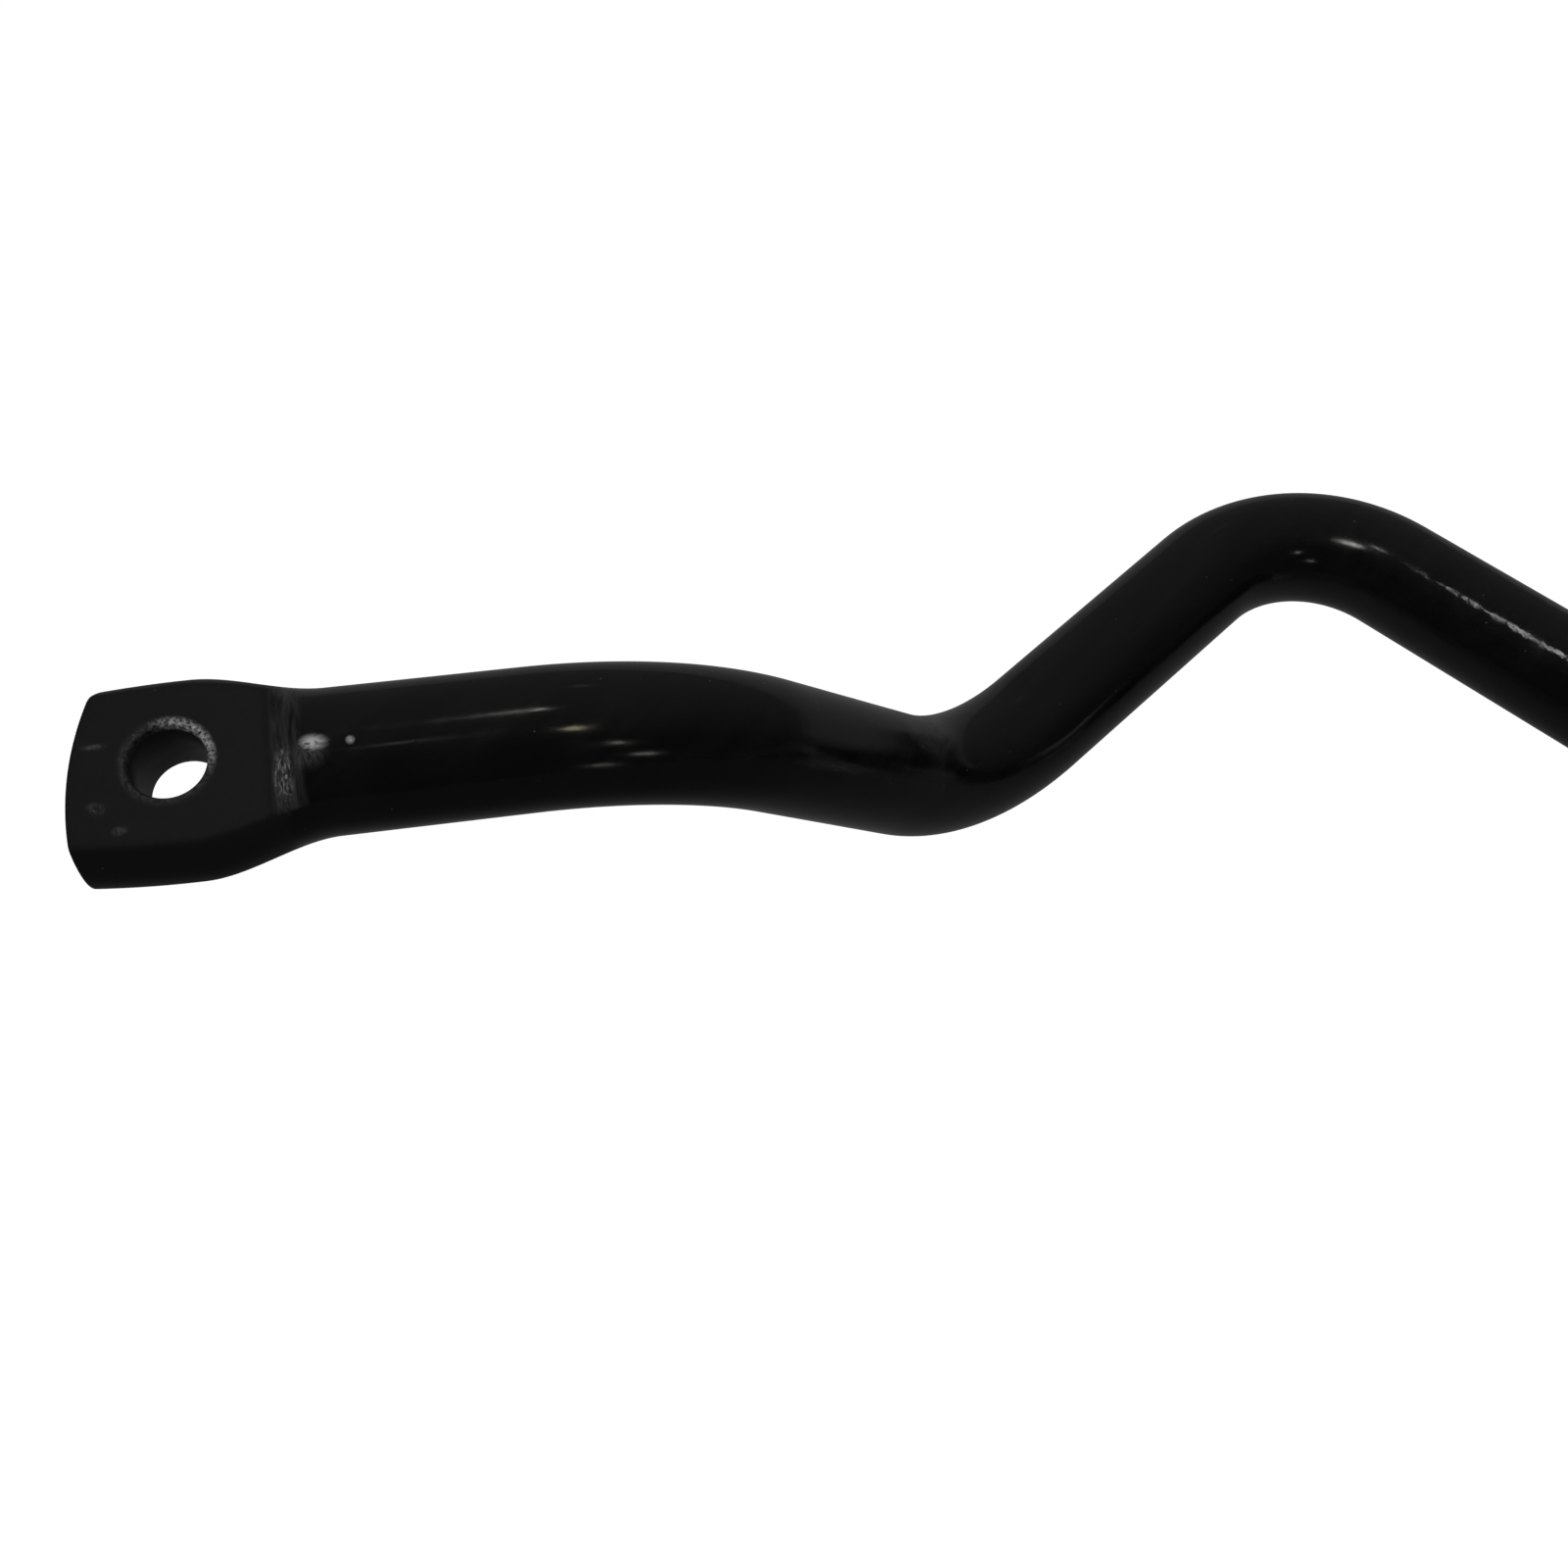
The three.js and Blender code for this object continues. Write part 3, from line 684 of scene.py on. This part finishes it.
class Nodes:
    """The node tree of a material or a world, with short calls for the nodes used here."""

    def __init__(self, owner, shader="Principled BSDF", place="Object"):
        owner.use_nodes = True
        self.owner = owner
        self.tree = owner.node_tree
        self.shader = self.tree.nodes[shader]
        self.place = self.add("ShaderNodeTexCoord").outputs[place]

    def add(self, kind, **settings):
        node = self.tree.nodes.new(kind)
        for key, value in settings.items():
            setattr(node, key, value)
        return node

    def feed(self, socket, value):
        if isinstance(value, bpy.types.NodeSocket):
            self.tree.links.new(value, socket)
        else:
            socket.default_value = value

    def math(self, operation, a, b=0.0):
        node = self.add("ShaderNodeMath", operation=operation)
        self.feed(node.inputs[0], a)
        self.feed(node.inputs[1], b)
        return node.outputs[0]

    def vector(self, operation, a, b=(0, 0, 0)):
        node = self.add("ShaderNodeVectorMath", operation=operation)
        self.feed(node.inputs[0], a)
        self.feed(node.inputs[1], b)
        is_number = operation in ("DOT_PRODUCT", "DISTANCE")
        return node.outputs["Value" if is_number else "Vector"]

    def split(self, place):
        node = self.add("ShaderNodeSeparateXYZ")
        self.feed(node.inputs[0], place)
        return node.outputs

    def combined(self, operation, values):
        so_far = values[0]
        for value in values[1:]:
            so_far = self.math(operation, so_far, value)
        return so_far

    def total(self, *values):
        return self.combined("ADD", values)

    def product(self, *values):
        return self.combined("MULTIPLY", values)

    def largest(self, *values):
        return self.combined("MAXIMUM", values)

    def level_length(self, x, y):
        return self.math("SQRT", self.total(self.product(x, x), self.product(y, y)))

    def stretched(self, scale, turn=(0, 0, 0), place=None):
        node = self.add("ShaderNodeMapping")
        self.feed(node.inputs["Vector"], place or self.place)
        node.inputs["Scale"].default_value = scale
        node.inputs["Rotation"].default_value = turn
        return node.outputs[0]

    def noise(self, per_metre, detail, roughness, place=None, distortion=0.0):
        node = self.add("ShaderNodeTexNoise")
        self.feed(node.inputs["Vector"], place or self.place)
        node.inputs["Scale"].default_value = per_metre
        node.inputs["Detail"].default_value = detail
        node.inputs["Roughness"].default_value = roughness
        node.inputs["Distortion"].default_value = distortion
        return node.outputs[0]

    def cells(self, per_metre):
        node = self.add("ShaderNodeTexVoronoi")
        self.feed(node.inputs["Vector"], self.place)
        node.inputs["Scale"].default_value = per_metre
        return node

    def ramp(self, value, low, high, at_low=0.0, at_high=1.0, smooth=True):
        kind = "SMOOTHSTEP" if smooth else "LINEAR"
        node = self.add("ShaderNodeMapRange", interpolation_type=kind)
        self.feed(node.inputs["Value"], value)
        node.inputs["From Min"].default_value = low
        node.inputs["From Max"].default_value = high
        node.inputs["To Min"].default_value = at_low
        self.feed(node.inputs["To Max"], at_high)
        return node.outputs[0]

    def window(self, value, low, high, soft):
        """One between low and high, falling to nothing over the soft distance outside."""
        rise = self.ramp(value, low - soft, low)
        fall = self.ramp(value, high, high + soft, 1.0, 0.0)
        return self.math("MULTIPLY", rise, fall)

    def patch(self, s, a, where):
        """One in the middle of an oval patch, falling to nothing at its edge."""
        centre, radii = where
        x = self.math("DIVIDE", self.math("SUBTRACT", s, centre[0]), radii[0])
        y = self.math("DIVIDE", self.math("SUBTRACT", a, centre[1]), radii[1])
        return self.ramp(self.level_length(x, y), 0.1, 1.0, 1.0, 0.0)

    def seen_as(self, level, seen):
        """A level for everything that is lit, and another that the camera sees."""
        node = self.add("ShaderNodeMix")
        self.feed(node.inputs["Factor"], self.add("ShaderNodeLightPath").outputs["Is Camera Ray"])
        self.feed(node.inputs["A"], level)
        self.feed(node.inputs["B"], seen)
        return node.outputs[0]

    def blend(self, share, below, above):
        node = self.add("ShaderNodeMix", data_type="RGBA")
        self.feed(node.inputs["Factor"], share)
        self.feed(node.inputs[6], below)
        self.feed(node.inputs[7], above)
        return node.outputs[2]

    def bump(self, height, depth, under=None):
        """Surface relief whose full height is depth, in millimetres."""
        node = self.add("ShaderNodeBump")
        node.inputs["Strength"].default_value = 1.0
        node.inputs["Distance"].default_value = depth * MM
        self.feed(node.inputs["Height"], height)
        if under is not None:
            self.feed(node.inputs["Normal"], under)
        return node.outputs[0]

    def finish(self, colour, roughness, relief):
        self.feed(self.shader.inputs["Base Color"], colour)
        self.feed(self.shader.inputs["Roughness"], roughness)
        self.feed(self.shader.inputs["Normal"], relief)
        return self.owner


def material_nodes(name):
    return Nodes(bpy.data.materials.new(name))


def grey(level, warmth=0.0):
    return (level * (1 + warmth), level, level * (1 - warmth), 1.0)


def folded_place(nodes):
    """The position with the right half of the bar folded on to the left one."""
    x, y, z = nodes.split(nodes.place)
    folded = nodes.add("ShaderNodeCombineXYZ")
    nodes.feed(folded.inputs[0], nodes.math("MULTIPLY", nodes.math("ABSOLUTE", x), -1.0))
    nodes.feed(folded.inputs[1], y)
    nodes.feed(folded.inputs[2], z)
    return folded.outputs[0]


def eye_places(nodes, place):
    """Distances, in millimetres, along and across the eye from its bore and out of its
    flats, and the same three as one vector."""
    centre = Vector(EYE * MM) + BAR_AXIS
    offset = nodes.vector("SUBTRACT", place, tuple(centre))
    together = nodes.add("ShaderNodeCombineXYZ")
    lengths = []
    for i, axis in enumerate(eye_axes()):
        reach_along = nodes.vector("DOT_PRODUCT", offset, tuple(axis))
        lengths.append(nodes.math("MULTIPLY", reach_along, 1000.0))
        nodes.feed(together.inputs[i], lengths[i])
    s, a, n = lengths
    return s, a, nodes.math("ABSOLUTE", n), together.outputs[0]


def rim_wear_and_highlight(nodes, s, a, mottle):
    """Wear round the bore's edge, with a painted highlight that makes it strongest on the side towards
    the neck and outboard.
    """
    from_axis = nodes.level_length(s, a)
    aside = nodes.total(nodes.product(s, RIM_HIGHLIGHT_SIDE[0]), nodes.product(a, RIM_HIGHLIGHT_SIDE[1]))
    towards = nodes.math("DIVIDE", aside, from_axis)
    rim = nodes.window(from_axis, *RIM_WEAR_RADII, 1.3)
    strength = nodes.ramp(towards, 0.3, 0.95, 0.04, 0.55)
    return nodes.product(rim, strength, nodes.ramp(mottle, 0.36, 0.66))


def eye_wear_and_painted_light(nodes, s, a, n, local):
    """How far the eye's paint has rubbed through, round the bore, on the shoulders and on the flats,
    together with painted highlights and a painted sheen on the bore's edge, shoulder and neck.
    """
    on_flat = nodes.ramp(n, 5.5, 6.5)
    mottle = nodes.noise(1.6, 5.0, 0.7, local)
    scratches_and_sheen_streaks = nodes.noise(2.2, 5.0, 0.75, nodes.stretched((1.0, 0.3, 0.3), place=local), 0.8)
    highlight_breakup = nodes.noise(0.55, 3.0, 0.6, nodes.stretched((0.6, 1.3, 1.0), place=local), 1.0)
    marks = [rim_wear_and_highlight(nodes, s, a, mottle)]
    # The scuff and the smudges are wear; the blotch and the chip are painted highlights, and the haze
    # is a painted sheen.
    for where, texture, strength in (
        (SHOULDER_SCUFF, nodes.ramp(scratches_and_sheen_streaks, 0.46, 0.68), 0.62),
        (SHOULDER_PAINTED_HIGHLIGHT, nodes.ramp(highlight_breakup, 0.36, 0.60), 0.55),
        (SHOULDER_PAINTED_SHEEN, nodes.ramp(scratches_and_sheen_streaks, 0.3, 0.7), 0.07),
        (NECK_PAINTED_HIGHLIGHT, nodes.ramp(mottle, 0.3, 0.6, 0.1, 0.45), 1.0),
    ):
        marks.append(nodes.product(nodes.patch(s, a, where), texture, strength))
    for smudge in FLAT_SMUDGES:
        marks.append(nodes.product(nodes.patch(s, a, smudge), nodes.ramp(scratches_and_sheen_streaks, 0.4, 0.65), 0.07))
    return nodes.product(nodes.largest(*marks), on_flat)


def black_paint():
    """Dipped gloss black paint over a forging, satin on the pressed flats, rubbed through to
    grey by the link and the press, with painted highlights and a painted sheen on the eye's
    bore edge, shoulder and neck, and a painted reflection at the jog's inner corner."""
    nodes = material_nodes("black_paint")
    place = folded_place(nodes)
    s, a, n, local = eye_places(nodes, place)
    flat = nodes.product(nodes.ramp(n, 8.6, 7.7), nodes.ramp(s, 19.0, 16.0))
    # Press band: its roughness and relief are the press marks, and its lighter colour is a painted
    # sheen.
    band = nodes.product(nodes.window(s, *PRESS_MARK_AND_SHEEN, 1.8), nodes.ramp(n, 6.8, 7.4))
    # Wear on the eye, together with painted highlights and a painted sheen.
    wear_and_painted_light = eye_wear_and_painted_light(nodes, s, a, n, local)
    # Jog's inner corner: folds in roughness and relief, and a painted reflection as a lighter grey
    # patch in the colour.
    from_crease = nodes.vector("DISTANCE", place, tuple(Vector(JOG_CREASE_AND_REFLECTION * MM) + BAR_AXIS))
    crease_and_reflection = nodes.ramp(from_crease, *CREASE_AND_REFLECTION_RADII, 1.0, 0.0)
    straight = nodes.ramp(nodes.split(place)[0], *SMOOTH_FROM_X)

    sags = nodes.noise(55, 2.0, 0.5)
    peel = nodes.noise(420, 2.0, 0.5)
    fine = nodes.noise(2600, 3.0, 0.6)
    streaks = nodes.noise(160, 4.0, 0.6, nodes.stretched((1.0, 0.16, 1.0)), 0.6)
    pressed = nodes.noise(1.3, 4.0, 0.65, nodes.stretched((1.0, 0.13, 0.13), place=local), 0.5)
    folds = nodes.noise(330, 3.0, 0.6, nodes.stretched((1.0, 0.25, 0.6), (0.3, 0.0, 0.5)), 1.2)

    dust = nodes.cells(520)
    chosen = nodes.ramp(nodes.vector("DOT_PRODUCT", dust.outputs["Color"], (1, 0, 0)), 0.86, 0.88)
    speck = nodes.product(nodes.ramp(dust.outputs["Distance"], 0.10, 0.05), chosen)

    colour = nodes.blend(nodes.ramp(streaks, 0.3, 0.8), grey(0.0019), grey(0.0036))
    colour = nodes.blend(nodes.product(flat, 0.75), colour, grey(0.0050, -0.03))
    # Painted sheen: the press band is painted lighter grey, streaked by the press marks.
    painted_sheen_colour = nodes.blend(nodes.ramp(pressed, 0.3, 0.7), grey(0.006), grey(0.030))
    colour = nodes.blend(nodes.product(band, 0.9), colour, painted_sheen_colour)
    # Painted reflection: a lighter grey patch at the jog's inner corner.
    folded = nodes.product(crease_and_reflection, nodes.ramp(folds, 0.3, 0.7, 0.4, 1.0))
    colour = nodes.blend(folded, colour, grey(0.022))
    colour = nodes.blend(nodes.product(speck, 0.35), colour, grey(0.12))
    # Wear, painted highlights and painted sheen, all painted light grey.
    colour = nodes.blend(wear_and_painted_light, colour, grey(0.62))

    rough = nodes.total(
        nodes.ramp(streaks, 0.35, 0.75, 0.10, 0.20),
        nodes.ramp(fine, 0.3, 0.8, 0.0, 0.04),
        nodes.product(flat, 0.32),
        nodes.product(band, 0.20),
        nodes.product(crease_and_reflection, 0.15),
        nodes.product(wear_and_painted_light, 0.35),
        nodes.product(straight, -0.06),
    )

    relief = nodes.bump(sags, 0.05)
    relief = nodes.bump(nodes.product(peel, nodes.ramp(straight, 0, 1, 0.16, 1.0)), 0.08, relief)
    relief = nodes.bump(nodes.product(fine, nodes.ramp(straight, 0, 1, 0.12, 1.0)), 0.012, relief)
    relief = nodes.bump(nodes.product(pressed, band), 0.10, relief)
    relief = nodes.bump(nodes.product(folds, crease_and_reflection), 0.16, relief)
    relief = nodes.bump(nodes.math("MAXIMUM", speck, nodes.product(wear_and_painted_light, -1.0)), 0.03, relief)
    nodes.shader.inputs["IOR"].default_value = 1.5
    return nodes.finish(colour, rough, relief)


def moulded_rubber():
    """Matt black rubber with a mould-release bloom and a fine grain."""
    nodes = material_nodes("moulded_rubber")
    bloom = nodes.noise(120, 4.0, 0.6)
    grain = nodes.noise(2200, 3.0, 0.6)
    flow = nodes.noise(300, 2.0, 0.5, nodes.stretched((0.3, 1.0, 1.0)))
    colour = nodes.blend(nodes.ramp(bloom, 0.35, 0.75), grey(0.010), grey(0.024, 0.03))
    rough = nodes.ramp(bloom, 0.3, 0.8, 0.62, 0.85)
    relief = nodes.bump(flow, 0.03)
    relief = nodes.bump(grain, 0.012, relief)
    return nodes.finish(colour, rough, relief)


def zinc_plate(name, tint, rough_low, rough_high, streak_scale):
    """Bright zinc plating on pressed steel, with faint rolling lines, stains and rubs."""
    nodes = material_nodes(name)
    clouds = nodes.noise(70, 4.0, 0.6)
    lines = nodes.noise(500, 3.0, 0.6, nodes.stretched(streak_scale))
    pits = nodes.cells(900).outputs["Distance"]
    stain = nodes.ramp(clouds, 0.4, 0.75)
    colour = nodes.blend(stain, tint, tuple(0.72 * c for c in tint[:3]) + (1.0,))
    colour = nodes.blend(nodes.ramp(pits, 0.12, 0.04, 0.0, 0.35), colour, grey(0.22, 0.04))
    dull = nodes.ramp(clouds, 0.3, 0.8, rough_low, rough_high)
    rough = nodes.math("ADD", dull, nodes.ramp(lines, 0.3, 0.8, 0.0, 0.1))
    relief = nodes.bump(lines, 0.012)
    relief = nodes.bump(clouds, 0.03, relief)
    relief = nodes.bump(nodes.ramp(pits, 0.0, 0.15), 0.012, relief)
    nodes.shader.inputs["Metallic"].default_value = 1.0
    return nodes.finish(colour, rough, relief)


def crimped_steel():
    """Bare steel band with turned lines round it and a little tarnish."""
    nodes = material_nodes("crimped_steel")
    lines = nodes.noise(900, 3.0, 0.6, nodes.stretched((1.0, 0.03, 0.03)))
    tarnish = nodes.noise(150, 4.0, 0.65)
    colour = nodes.blend(nodes.ramp(tarnish, 0.45, 0.75), grey(0.42, 0.01), grey(0.20, 0.10))
    dull = nodes.ramp(tarnish, 0.4, 0.8, 0.0, 0.2)
    rough = nodes.math("ADD", nodes.ramp(lines, 0.3, 0.7, 0.24, 0.40), dull)
    relief = nodes.bump(lines, 0.02)
    nodes.shader.inputs["Metallic"].default_value = 1.0
    return nodes.finish(colour, rough, relief)


# ---- Stage ----------------------------------------------------------------------------


def make_floor():
    """A pale floor that is bright to the camera and dim in reflections, brighter behind."""
    mesh = bpy.data.meshes.new("floor")
    half = FLOOR_HALF
    corners = [(-half, -half, 0), (half, -half, 0), (half, half, 0), (-half, half, 0)]
    mesh.from_pydata(corners, [], [(0, 1, 2, 3)])
    floor = bpy.data.objects.new("floor", mesh)
    bpy.context.scene.collection.objects.link(floor)
    floor.location.z = -FLOOR_DROP
    nodes = material_nodes("pale_floor")
    inputs = nodes.shader.inputs
    inputs["Base Color"].default_value = grey(FLOOR_COLOUR)
    inputs["Roughness"].default_value = 1.0
    inputs["Specular IOR Level"].default_value = 0.0
    inputs["Emission Color"].default_value = grey(1.0)
    back = nodes.vector("DOT_PRODUCT", nodes.place, FLOOR_GLOW_SIDE)
    glow = nodes.ramp(back, *FLOOR_GLOW_EDGES, FLOOR_GLOW_FRONT, FLOOR_GLOW_BACK)
    nodes.feed(inputs["Emission Strength"], nodes.seen_as(glow, FLOOR_SEEN))
    mesh.materials.append(nodes.owner)


def make_world():
    """A pale room to the eye; in reflections, dark near the camera and dim grey behind."""
    world = bpy.data.worlds.new("studio")
    bpy.context.scene.world = world
    nodes = Nodes(world, "Background", "Generated")
    facing = nodes.vector("DOT_PRODUCT", nodes.place, SKY_SIDE.normalized())
    sky = nodes.ramp(facing, *SKY_FACING, SKY_LOW, SKY_HIGH, smooth=False)
    above = nodes.ramp(nodes.split(nodes.place)[2], 0.0, SKY_HORIZON, SKY_LOW, sky)
    nodes.feed(nodes.shader.inputs["Strength"], nodes.seen_as(above, WORLD_SEEN))
    nodes.shader.inputs["Color"].default_value = grey(1.0)


def lamp(name, position, target, size, radiance, colour=(1, 1, 1)):
    """A soft rectangular lamp. Position and target are millimetres in the bar frame."""
    data = bpy.data.lights.new(name, "AREA")
    data.shape = "RECTANGLE"
    data.size = size[0]
    data.size_y = size[1]
    data.energy = radiance * math.pi * size[0] * size[1]
    data.color = colour
    obj = bpy.data.objects.new(name, data)
    bpy.context.scene.collection.objects.link(obj)
    obj.location = Vector(position) * MM + BAR_AXIS
    aim = Vector(target) * MM + BAR_AXIS - obj.location
    obj.rotation_euler = aim.to_track_quat("-Z", "Y").to_euler()
    obj.visible_camera = False
    return obj


def narrowed(lamp_object, half_angle):
    """Narrows a lamp's beam and leaves it as bright along its middle."""
    half = math.radians(half_angle)
    lamp_object.data.spread = 2 * half
    lamp_object.data.energy *= 1 - half / math.tan(half)
    return lamp_object


def twisted(lamp_object, angle):
    """Turns a lamp about its own middle line."""
    turn = lamp_object.rotation_euler.to_matrix() @ Matrix.Rotation(math.radians(angle), 3, "Z")
    lamp_object.rotation_euler = turn.to_euler()
    return lamp_object


def lit_only(lamp_object, pieces):
    """Lets a lamp light the given pieces and nothing else."""
    group = bpy.data.collections.new(lamp_object.name + "_pieces")
    for piece in pieces:
        group.objects.link(piece)
    lamp_object.light_linking.receiver_collection = group


def strip(name, ends, width, target, half_beam, radiance, colour=(1, 1, 1)):
    """A strip lamp between two points, whose narrow beam is aimed at a place on the bar."""
    start = Vector(ends[0])
    run = Vector(ends[1]) - start
    made = lamp(name, start + run / 2, target, (run.length * MM, width), radiance, colour)
    sideways = made.rotation_euler.to_matrix().transposed() @ run
    twisted(made, math.degrees(math.atan2(sideways.y, sideways.x)))
    return narrowed(made, half_beam)


def make_arm_lamps(label, side):
    """Small lamps over one arm, each for a highlight on its bends."""

    def at(x, y, z=1000):
        return (side * x, y, z)

    def named(name):
        return f"{label}_{name}"

    neck = at(-437, -173, 75)
    elbow = at(-385, -7, 11)
    arm = at(-408, -90, 40)
    straight = at(-318, -4, 12)
    outer_ends = (at(-588, -2), at(-478, 140))
    middle_ends = (at(-436, -122), at(-345, -165))
    inner_ends = (at(-140, -215), at(-285, -310))
    warm_ends = (at(0, -150, 1010), at(90, -150, 970))
    low = lamp(named("side_low"), at(214, -231, 510), arm, (0.045, 0.06), 3.9, PALE)
    lower = lamp(named("side_lower"), at(-97, -216, 155), arm, (0.035, 0.022), 4.4, PALE)
    level = lamp(named("side_level"), at(764, -690, 174), neck, (0.12, 0.10), 2.1, PALE)
    back = lamp(named("far_back"), at(-1150, 900, 1000), neck, (0.20, 0.34), 0.4)
    return [
        strip(named("overhead_outer"), outer_ends, 0.05, neck, 4, 9.0, PALE),
        strip(named("overhead_middle"), middle_ends, 0.07, straight, 3.8, 18.0),
        strip(named("overhead_inner"), inner_ends, 0.12, elbow, 6.8, 15.0, PALE),
        strip(named("side_warm"), warm_ends, 0.08, neck, 8, 7.5, WARM),
        narrowed(low, 25),
        narrowed(lower, 25),
        narrowed(level, 5),
        narrowed(back, 3),
    ]


def make_bar_lamps(bar):
    """The lamps of both arms, and a strip over the centre section."""
    over_centre = ((-120, -60, 1100), (300, -60, 1100))
    lamps = make_arm_lamps("left", 1) + make_arm_lamps("right", -1)
    lamps.append(strip("overhead_centre", over_centre, 0.16, (90, 0, 0), 14, 4.0))
    for each in lamps:
        lit_only(each, [bar])


def make_object_lamps(pieces):
    """A wide soft light without glare on every piece, and soft boxes for the hardware."""
    fill = lamp("room_fill", (-200, -200, 1500), (-200, -100, 0), (2.4, 2.0), 1.8)
    fill.visible_glossy = False
    lit_only(fill, pieces)
    hardware = [piece for piece in pieces if piece.name != "forged_bar"]
    for name, place, size, radiance in (
        ("box_top", (0, -100, 1300), (1.7, 0.5), 2.4),
        ("box_front", (-100, -1100, 700), (1.8, 0.6), 1.9),
        ("box_back", (100, 1100, 700), (1.8, 0.6), 1.7),
        ("box_left", (-1300, -200, 500), (0.7, 0.6), 1.5),
        ("box_right", (1300, 200, 500), (0.7, 0.6), 1.5),
    ):
        lit_only(lamp(name, place, (0, 0, 0), size, radiance), hardware)


def make_camera():
    """A camera close above the left arm, looking down on it."""
    data = bpy.data.cameras.new("camera")
    data.sensor_fit = "HORIZONTAL"
    data.sensor_width = SENSOR
    data.lens = LENS
    data.clip_start = 0.01
    data.clip_end = 50.0
    camera = bpy.data.objects.new("camera", data)
    bpy.context.scene.collection.objects.link(camera)
    aim = (CAMERA_TARGET - CAMERA_PLACE).to_track_quat("-Z", "Y").to_matrix()
    turn = aim @ Matrix.Rotation(CAMERA_ROLL, 3, "Z")
    camera.matrix_world = Matrix.Translation(CAMERA_PLACE * MM + BAR_AXIS) @ turn.to_4x4()
    bpy.context.scene.camera = camera


# ---- The object -----------------------------------------------------------------------


def node_middle(node):
    low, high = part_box(node)
    return (low + high) / 2


def make_pivot(label, materials):
    body = f"{label}_pivot"
    centre = Vector((node_middle(f"{label}_bushing").x, BAR_AXIS.y, BAR_AXIS.z))
    rubber, bracket, fastener = materials
    bushing = make_bushing(f"{label}_bushing_rubber", centre)
    strap = make_strap(f"{label}_strap_pressing", centre)
    plate = make_base_plate(f"{label}_base_plate_pressing", centre)
    pieces = [
        dress(bushing, body, f"{label}_bushing", rubber),
        dress(strap, body, f"{label}_strap", bracket),
        dress(plate, body, f"{label}_base_plate", bracket),
    ]
    for end in ("front", "rear"):
        stem = f"{label}_{end}"
        where = Vector((centre.x, node_middle(f"{stem}_stud").y, centre.z))
        for part, make in (("stud", make_stud), ("washer", make_washer), ("nut", make_nut)):
            piece = make(f"{stem}_{part}_turned", where)
            pieces.append(dress(piece, body, f"{stem}_{part}", fastener))
    return pieces


def make_object():
    paint = black_paint()
    rubber = moulded_rubber()
    bracket = zinc_plate("bracket_zinc_plate", (0.58, 0.59, 0.60, 1), 0.30, 0.46, (1.0, 0.05, 1.0))
    fastener = zinc_plate("fastener_zinc_plate", (0.66, 0.66, 0.65, 1), 0.20, 0.34, (1.0, 1.0, 0.2))
    steel = crimped_steel()
    pieces = [dress(make_bar(), "bar", "sway_bar", paint)]
    for label in ("left", "right"):
        pieces += make_pivot(label, (rubber, bracket, fastener))
        node = f"{label}_stop_ring"
        centre = Vector((node_middle(node).x, BAR_AXIS.y, BAR_AXIS.z))
        band = make_stop_ring(f"{node}_band", centre)
        pieces.append(dress(band, "bar", node, steel))
    return pieces


object_pieces = make_object()
make_floor()
make_world()
make_bar_lamps(object_pieces[0])
make_object_lamps(object_pieces)
make_camera()
bpy.context.scene.view_settings.view_transform = "Standard"
